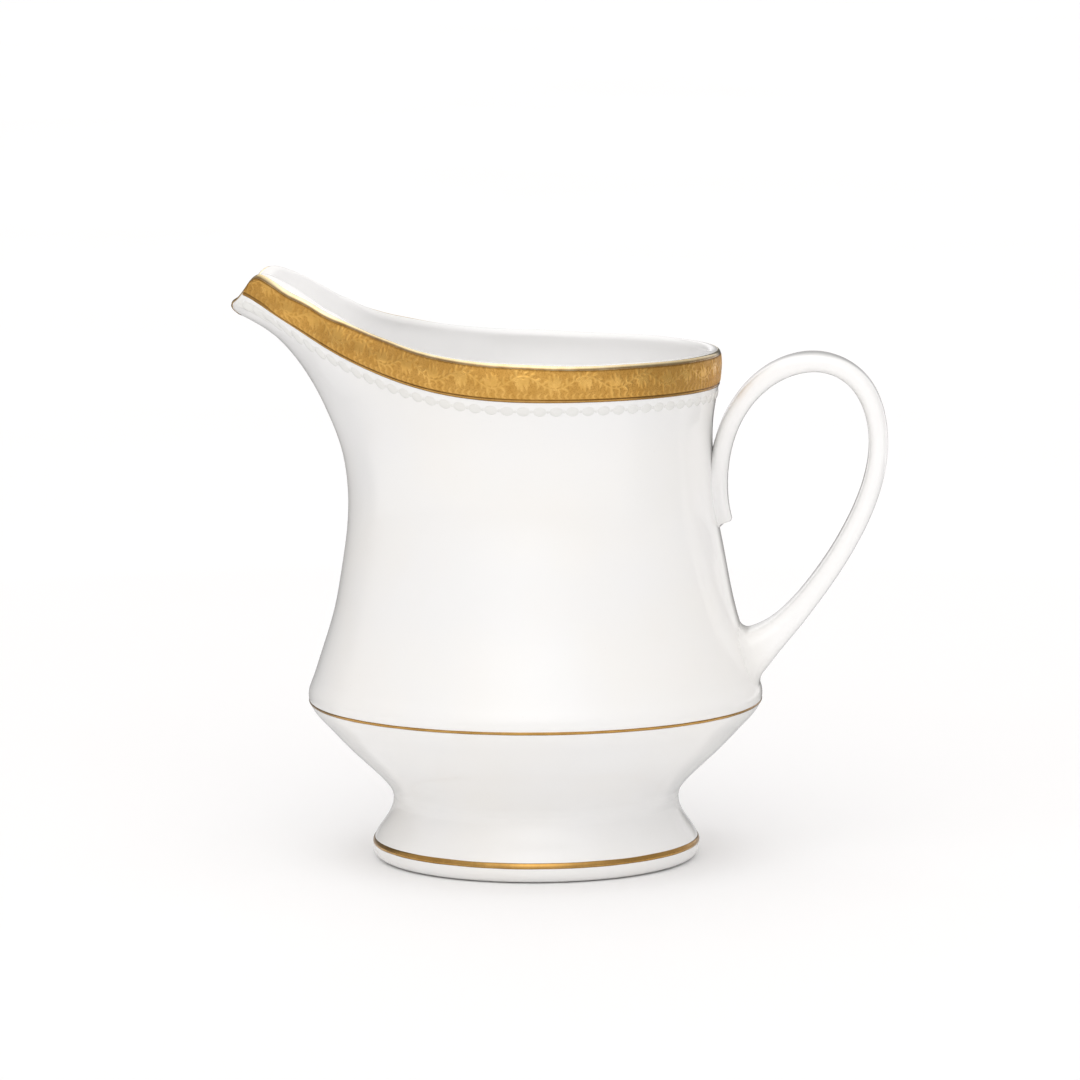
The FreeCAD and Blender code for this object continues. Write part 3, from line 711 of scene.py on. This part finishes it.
def scroll_tile():
    nx, ny = int(round(TILE_L / TILE_R)), int(TILE_H / TILE_R) + 1
    X, Y = np.meshgrid(np.arange(nx) * TILE_R, np.arange(ny) * TILE_R,
                       indexing="ij")
    H = np.zeros_like(X)
    c = TILE_H / 2

    def stroke(px, py, w, soft=0.10):
        best = np.full(X.shape, 1e9)
        px, py = np.asarray(px, float), np.asarray(py, float)
        w = np.broadcast_to(w, px.shape)
        for shift in (-TILE_L, 0.0, TILE_L):
            for x0, y0, ww in zip(px + shift, py, w):
                if -2 < x0 < TILE_L + 2:
                    best = np.minimum(best, np.hypot(X - x0, Y - y0) - ww)
        return 1 - step01(best, -0.07, soft)

    def leaf(x0, y0, direction, length, width, bow=0.18):
        t = np.linspace(0, 1, 14)
        bend = bow * length * np.sin(PI * t)
        dx, dy = math.cos(direction), math.sin(direction)
        px = x0 + dx * length * t - dy * bend
        py = y0 + dy * length * t + dx * bend
        return stroke(px, py, width * np.sin(PI * (0.06 + 0.88 * t)) ** 0.8)

    def put(h, k=1.0):
        np.maximum(H, h * k, out=H)

    def carve(h, k=0.6):
        np.minimum(H, 1 - h * k, out=H)

    t = np.linspace(0, 1, 130)
    stem_x = TILE_L * t
    amp = 1.15
    put(stroke(stem_x, c + amp * np.sin(2 * PI * t), 0.12))
    rng = np.random.RandomState(7)
    for x0, y0, turn in ((TILE_L * 0.25, c - 0.75, 1),
                         (TILE_L * 0.75, c + 0.75, -1)):
        # lobed leaf: a fan of fingers from one root, veined
        root = (x0 - 0.2, y0 + turn * 1.2)
        for k in range(7):
            a = -turn * PI / 2 + (k - 3) * 0.46
            ln = 1.95 - 0.16 * abs(k - 3) ** 1.5
            put(leaf(root[0], root[1], a, ln, 0.30,
                     0.10 * (1 if k > 3 else -1)))
        for k in range(7):
            a = -turn * PI / 2 + (k - 3) * 0.46
            u = np.linspace(0.25, 0.85, 9) * (1.95 - 0.16 * abs(k - 3) ** 1.5)
            carve(stroke(root[0] + u * math.cos(a), root[1] + u * math.sin(a),
                         0.02, 0.07), 0.7)
        put(stroke([root[0]], [root[1]], 0.30))
    for k in range(10):
        f = (k + 0.5) / 10
        sx, sy = TILE_L * f, c + amp * math.sin(2 * PI * f)
        up = 1 if k % 2 else -1
        slope = math.atan2(amp * 2 * PI / TILE_L * math.cos(2 * PI * f), 1)
        put(leaf(sx, sy, slope + up * (0.8 + 0.3 * rng.rand()),
                 1.15 + 0.5 * rng.rand(), 0.22))
        put(leaf(sx, sy, slope - up * (0.6 + 0.3 * rng.rand()),
                 0.85 + 0.3 * rng.rand(), 0.17))
    for k in range(9):
        f = k / 9.0
        for y0, way in ((0.28, 1), (TILE_H - 0.28, -1)):
            x0 = TILE_L * (f + (0.03 if way > 0 else 0.07))
            put(leaf(x0, y0, way * (0.9 + 0.5 * rng.rand()),
                     0.75 + 0.5 * rng.rand(), 0.15), 0.9)
            put(leaf(x0 + 0.5, y0, way * (2.2 + 0.4 * rng.rand()),
                     0.55 + 0.35 * rng.rand(), 0.13), 0.85)
    return H


TILE = scroll_tile()


def tile_at(s, y):
    u = (s % TILE_L) / TILE_R
    v = np.clip(y / TILE_R, 0, TILE.shape[1] - 1.001)
    i, j = np.floor(u).astype(int), np.floor(v).astype(int)
    fu, fv = u - i, v - j
    n = TILE.shape[0]
    i0, i1 = i % n, (i + 1) % n
    return ((1 - fu) * (1 - fv) * TILE[i0, j] + fu * (1 - fv) * TILE[i1, j]
            + (1 - fu) * fv * TILE[i0, j + 1] + fu * fv * TILE[i1, j + 1])


def end_angle(z_low, z_high, least):
    a = np.arange(math.radians(150.0), PI, 0.002)
    short = (z_high(a) - z_low(a)) <= least
    return float(a[short.argmax()]) if short.any() else PI - 0.001


band_top = lambda t: edge_z(t) - 0.05
low_z = lambda t: crossing(t, band_low)
bottom_z = lambda t: low_z(t) + EDGE_LINE

# the etched field
limit = end_angle(bottom_z, band_top, 0.35)
n_cols, n_rows = ((1600, 50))
T = even_thetas(n_cols, limit)
zb, zt = bottom_z(T) - 0.06, band_top(T) + 0.12
tall = zt - zb
f = np.linspace(0, 1, n_rows)
Z = zb[:, None] + tall[:, None] * f[None, :]
s = length_along(T, (zb + zt) / 2)
y = f[None, :] * np.minimum(tall[:, None], TILE_H)
H = tile_at(np.broadcast_to(s[:, None], Z.shape), y)
rim_line = np.minimum(f * 1.0, (1 - f)) [None, :] * tall[:, None]
fade = step01(rim_line, 0.0, 0.10)
depth = SKIN_GAP + BAND_T * (0.34 + 0.66 * H) * fade
face = on_wall(T[:, None] + 0 * Z, Z, depth)
back0 = on_wall(T, zb, -0.05)[:, None]
back1 = on_wall(T, zt, -0.05)[:, None]
sec = np.concatenate([back0, face, back1, back_rows(T, zb, zt)], 1)
pad = np.zeros((len(T), 1))
pad8 = np.zeros((len(T), 9))
# brown along both rims of the field, partly the gold's own edge and partly painted shade;
# the strip just under the lip is painted shade of a groove
edge = 1 - step01(rim_line, 0.05, 0.22)
painted_groove_shade = (1 - step01((1 - f)[None, :] * tall[:, None], 0.12, 0.42))
edge = np.maximum(edge, 0.9 * painted_groove_shade)
strip("etched_gold_relief", T, sec, m_etched,
      ["etched_gold_band"], False,
      {"raised": np.concatenate([pad, H, pad8], 1),
       "edge": np.concatenate([pad + 1, edge, pad8 + 1], 1)})


def line(name, T, z0, z1, thick, closed, nodes, rows=9, wave=0.03,
         dark_low=0.0, dark_high=0.0):
    """Brushed gold line with a rounded section and a hand-laid edge."""
    z0 = np.broadcast_to(z0, T.shape)
    z1 = np.broadcast_to(z1, T.shape)
    ph = np.arange(1, 6)
    k = np.array([3, 7, 13, 29, 41])
    w0 = sum(np.sin(kk * T + 1.7 * p) for kk, p in zip(k, ph)) / 5
    w1 = sum(np.sin((kk + 1) * T + 2.3 * p) for kk, p in zip(k, ph)) / 5
    a = z0 + wave * (0.5 + 0.5 * w0)
    b = z1 - wave * (0.5 + 0.5 * w1)
    f = np.linspace(0, 1, rows)
    Z = a[:, None] + (b - a)[:, None] * f[None, :]
    dome = np.sqrt(np.clip(1 - (2 * f - 1) ** 2 * 0.985, 0, 1))[None, :]
    face = on_wall(T[:, None] + 0 * Z, Z, SKIN_GAP + thick * dome)
    sec = np.concatenate([on_wall(T, a, -0.05)[:, None], face,
                          on_wall(T, b, -0.05)[:, None]], 1)
    e = dark_low * (1 - step01(f, 0.0, 0.55)) + dark_high * step01(f, .6, 1)
    e = np.concatenate([[dark_low], e, [dark_high]])
    return strip(name, T, sec, m_line, nodes, closed,
                 {"edge": np.broadcast_to(e, sec.shape[:2])})


line_limit = end_angle(low_z, band_top, EDGE_LINE + 0.15)
T = even_thetas(1200, line_limit)
# the line is painted brown all across: partly the gold's own burnt edge, partly painted
# shade and dark reflection
line("band_edge_line_gilt", T, low_z(T), low_z(T) + EDGE_LINE - 0.03, LINE_T,
     False, ["band_edge_gold_line"], wave=0.02, dark_low=1.0, dark_high=0.9)
T = np.linspace(-PI, PI, 900, endpoint=False)
line("shoulder_line_gilt", T, SHOULDER_LINE[0], SHOULDER_LINE[1], LINE_T,
     True, ["shoulder_gold_line"], wave=0.06, dark_low=0.6, dark_high=0.3)

# line on the foot
T = np.linspace(-PI, PI, 600, endpoint=False)
w0 = sum(np.sin(k * T + k) for k in (2, 5, 11, 23)) / 4
w1 = sum(np.sin(k * T + 2 * k) for k in (3, 7, 13, 19)) / 4
za = FOOT_LINE[0] + 0.04 * (1 + w0)
zb = FOOT_LINE[1] - 0.04 * (1 + w1)
f = np.linspace(0, 1, 11)
Z = za[:, None] + (zb - za)[:, None] * f[None, :]
dome = np.sqrt(np.clip(1 - (2 * f - 1) ** 2 * 0.985, 0, 1))[None, :]
face = xyz(T[:, None], foot_r(Z) + SKIN_GAP + LINE_T * dome, Z)
sec = np.concatenate([xyz(T, foot_r(za) - 0.05, za)[:, None], face,
                      xyz(T, foot_r(zb) - 0.05, zb)[:, None]], 1)
e = 0.7 * (1 - step01(f, 0, 0.25)) + 0.35 * step01(f, .8, 1)
e = np.concatenate([[0.7], e, [0.35]])
strip("foot_line_gilt", T, sec, m_line, ["foot_gold_line"],
      True, {"edge": np.broadcast_to(e, sec.shape[:2])})

# gilded lip: pale gold as a painted highlight, brown on its outer side as a painted dark
# reflection
T = even_thetas(900)
E = edge_z(T)
al = np.linspace(-2.0, 50.0, 13)
dome = np.sqrt(np.clip(1 - np.linspace(-1, 1, 13) ** 2 * 0.985, 0, 1))
face = np.stack([on_lip(T, E, a, SKIN_GAP + LINE_T * k)
                 for a, k in zip(al, dome)], 1)
sec = np.concatenate([on_lip(T, E, al[0], -0.05)[:, None], face,
                      on_lip(T, E, al[-1], -0.05)[:, None]], 1)
# painted dark reflection: the outer side of the lip gold, up to about 30 degrees round, is
# painted brown
e = np.concatenate([[1.0], 1 - step01(al, 10, 30), [0.0]])
strip("lip_line_gilt", T, sec, m_lip, ["lip_gold_line"],
      True, {"edge": np.broadcast_to(e, sec.shape[:2])})

# raised white border of oval beads under the gold
top_z = lambda t: crossing(t, lambda x: band_low(x) - BEAD_GAP)
bot_z = lambda t: crossing(t, lambda x: band_low(x) - BEAD_GAP - BEAD_DEPTH)
bead_limit = end_angle(top_z, band_top, 0.5)
T = even_thetas(1900, bead_limit)
za, zb = bot_z(T), top_z(T)
f = np.linspace(0, 1, 19)
Z = za[:, None] + (zb - za)[:, None] * f[None, :]
s = length_along(T, (za + zb) / 2)
PITCH = 2.9
u = ((s + PITCH / 2) % PITCH - PITCH / 2)[:, None]
w = (f[None, :] - 0.5) * BEAD_DEPTH
q = np.sqrt((u / 1.17) ** 2 + (w / 0.80) ** 2)
H = np.sqrt(np.clip(1 - q ** 2.2, 0, 1))
u2 = PITCH / 2 - np.abs(u)
q2 = np.sqrt((u2 / 0.26) ** 2 + (w / 0.26) ** 2)
H = np.maximum(H, 0.7 * np.sqrt(np.clip(1 - q2 ** 2, 0, 1)))
face = on_wall(T[:, None] + 0 * Z, Z, -0.02 + (SKIN_GAP + BEAD_T + 0.02) * H)
sec = np.concatenate([on_wall(T, za, -0.08)[:, None], face,
                      on_wall(T, zb, -0.08)[:, None],
                      back_rows(T, za, zb, -0.08)], 1)
strip("raised_bead_row", T, sec, m_bead,
      ["raised_bead_border"], False,
      {"raised": np.concatenate([np.zeros((len(T), 1)), H,
                                 np.zeros((len(T), 9))], 1)})


# ------------------------------------------------------------ floor, studio
def floor_piece():
    n = 128
    radii = np.concatenate([[0.02], np.geomspace(0.04, 14.0, 46)])
    t = np.linspace(-PI, PI, n, endpoint=False)
    P = np.stack([radii[None, :] * np.cos(t)[:, None],
                  radii[None, :] * np.sin(t)[:, None],
                  np.zeros((n, len(radii)))], -1).reshape(-1, 3)
    P = np.concatenate([P, [[0, 0, 0]]])
    faces = grid_faces(n, len(radii), True, False).tolist()
    faces += fan(np.arange(n)[::-1] * len(radii), n * len(radii)).tolist()
    me = bpy.data.meshes.new("studio_floor")
    me.from_pydata(P.tolist(), [], faces)
    me.shade_smooth()
    ob = bpy.data.objects.new("studio_floor", me)
    bpy.context.scene.collection.objects.link(ob)
    ob.location = (0, 0, -0.00003)
    m, nt, b = new_material("floor_paper")
    pos = node(nt, "ShaderNodeTexCoord").outputs["Object"]
    col = blend(nt, remap(nt, noise(nt, pos, 3.0, 3.0), 0.3, 0.7, 0, 1),
                (0.93, 0.93, 0.93), (0.95, 0.95, 0.95))
    nt.links.new(col, b.inputs["Base Color"])
    nt.links.new(remap(nt, noise(nt, pos, 900.0, 3.0), 0.3, 0.7, 0.7, 0.8),
                 b.inputs["Roughness"])
    b.inputs["Specular IOR Level"].default_value = 0.15
    me.materials.append(m)
    me.update()
    # faces up
    if me.polygons[0].normal.z < 0:
        me.flip_normals()


floor_piece()

world = bpy.data.worlds.new("soft_studio")
bpy.context.scene.world = world
world.use_nodes = True
wt = world.node_tree
bg = wt.nodes["Background"]
sky = node(wt, "ShaderNodeTexCoord").outputs["Generated"]
LOBES = [
    # azimuth (0 at the camera, + toward the handle), height, power, r, g, b
    (0, 40, 8.0, 1.36, 1.38, 1.38),
    (-20, 12, 8.0, 0.10, 0.10, 0.10),
    (180, 8, 8.0, 0.34, 0.36, 0.38),
    (200, 40, 8.0, 0.38, 0.38, 0.38),
    (0, 90, 6.0, 0.92, 0.92, 0.92),
]
BASE = (0.62, 0.60, 0.595)
total = node(wt, "ShaderNodeCombineXYZ", X=BASE[0], Y=BASE[1],
             Z=BASE[2]).outputs["Vector"]
for az, el, p, *rgb in LOBES:
    az, el = math.radians(az), math.radians(el)
    v = node(wt, "ShaderNodeVectorMath", operation="DOT_PRODUCT")
    wt.links.new(sky, v.inputs[0])
    v.inputs[1].default_value = (math.cos(el) * math.sin(az),
                                 -math.cos(el) * math.cos(az), math.sin(el))
    lobe = calc(wt, "POWER", calc(wt, "MAXIMUM", v.outputs["Value"], 0.0), p)
    tint = node(wt, "ShaderNodeVectorMath", operation="SCALE")
    tint.inputs[0].default_value = rgb
    wt.links.new(lobe, tint.inputs["Scale"])
    add = node(wt, "ShaderNodeVectorMath", operation="ADD")
    wt.links.new(total, add.inputs[0])
    wt.links.new(tint.outputs["Vector"], add.inputs[1])
    total = add.outputs["Vector"]
wt.links.new(total, bg.inputs["Color"])
bg.inputs["Strength"].default_value = 1.0


def softbox(name, where, look, size, power, colour=(1, 1, 1)):
    li = bpy.data.lights.new(name, "AREA")
    li.shape = "RECTANGLE"
    li.size, li.size_y = size
    li.energy = power
    li.color = colour
    ob = bpy.data.objects.new(name, li)
    bpy.context.scene.collection.objects.link(ob)
    ob.location = where
    d = Vector(look) - Vector(where)
    ob.rotation_euler = d.to_track_quat("-Z", "Y").to_euler()
    return ob


SOFTBOXES = []
for args in SOFTBOXES:
    softbox(*args)

# grey cards beside and behind the jug: they are seen only in the glaze and
# the gold, and neither shade the floor nor block a view
CARDS = [
    # azimuth from, to (0 at the camera, + toward the handle), brightness
    (62.0, 112.0, 0.50),
    (150.0, 172.0, 0.12),
    (-172.0, -104.0, 0.22),
]


def card(i, a0, a1, level, radius=0.17, z0=-0.004, z1=0.21, flat=None):
    """Upright card, or with flat = (r0, r1) one that lies on the floor."""
    n = 61
    t = np.radians(np.linspace(a0 - 6.0, a1 + 6.0, n))
    z = np.linspace(z0, z1, 4)
    P = np.stack([radius * np.sin(t)[:, None] + 0 * z[None, :],
                  -radius * np.cos(t)[:, None] + 0 * z[None, :],
                  0 * t[:, None] + z[None, :]], -1).reshape(-1, 3)
    if flat:
        k = np.linspace(flat[0], flat[1], 4)
        P = np.stack([k[None, :] * np.sin(t)[:, None],
                      -k[None, :] * np.cos(t)[:, None],
                      0.0004 + 0 * k[None, :] * t[:, None]],
                     -1).reshape(-1, 3)
    me = bpy.data.meshes.new("grey_card_%d" % i)
    me.from_pydata(P.tolist(), [], grid_faces(n, 4, False, False).tolist())
    ob = bpy.data.objects.new("grey_card_%d" % i, me)
    bpy.context.scene.collection.objects.link(ob)
    m, nt, b = new_material("grey_card_%d" % i)
    b.inputs["Base Color"].default_value = (0.0, 0.0, 0.0, 1.0)
    b.inputs["Specular IOR Level"].default_value = 0.0
    b.inputs["Emission Color"].default_value = (1.0, 1.0, 1.0, 1.0)
    b.inputs["Emission Strength"].default_value = level
    # the ends of the card fade out
    ends = np.minimum(t - t[0], t[-1] - t)
    fade = np.repeat(step01(ends, 0.0, math.radians(13.0)), 4)
    at = me.attributes.new("fade", "FLOAT", "POINT")
    at.data.foreach_set("value", fade.astype(np.float32))
    nt.links.new(attribute(nt, "fade"), b.inputs["Alpha"])
    me.materials.append(m)
    ob.visible_camera = False
    ob.visible_diffuse = False
    ob.visible_shadow = False
    ob.visible_transmission = False
    m.cycles.emission_sampling = "NONE"


for i, (a0, a1, level) in enumerate(CARDS):
    card(i, a0, a1, level)
card(3, 104.0, 256.0, 0.50, flat=(0.035, 0.40))

# ------------------------------------------------------------------- camera
SCALE = 0.182
DIST, ELEV, ROLL, AZ, SIDE, AIM = 5700.0, 7.35066, 0.28965, 3.18785, 5.2197, 58.058
e, r, az = (math.radians(v) for v in (ELEV, ROLL, AZ))
turn = Matrix.Rotation(az, 3, "Z")
R0 = Vector((1, 0, 0))
U0 = Vector((0, math.sin(e), math.cos(e)))
F0 = Vector((0, math.cos(e), -math.sin(e)))
right = turn @ (math.cos(r) * R0 - math.sin(r) * U0)
up = turn @ (math.sin(r) * R0 + math.cos(r) * U0)
back = turn @ (-F0)
eye = turn @ (Vector((SIDE, -DIST * math.cos(e), DIST * math.sin(e))) * SCALE)
eye = (eye + Vector((0, 0, AIM))) * MM
cam = bpy.data.cameras.new("view")
cam.lens, cam.sensor_width, cam.sensor_fit = 190.0, 36.0, "HORIZONTAL"
cam.clip_start, cam.clip_end = 0.05, 60.0
cam_ob = bpy.data.objects.new("view", cam)
bpy.context.scene.collection.objects.link(cam_ob)
m = Matrix.Identity(4)
for i in range(3):
    m[i][0], m[i][1], m[i][2], m[i][3] = right[i], up[i], back[i], eye[i]
cam_ob.matrix_world = m
bpy.context.scene.camera = cam_ob
bpy.context.scene.view_settings.view_transform = "Standard"
bpy.context.scene.view_settings.look = "None"
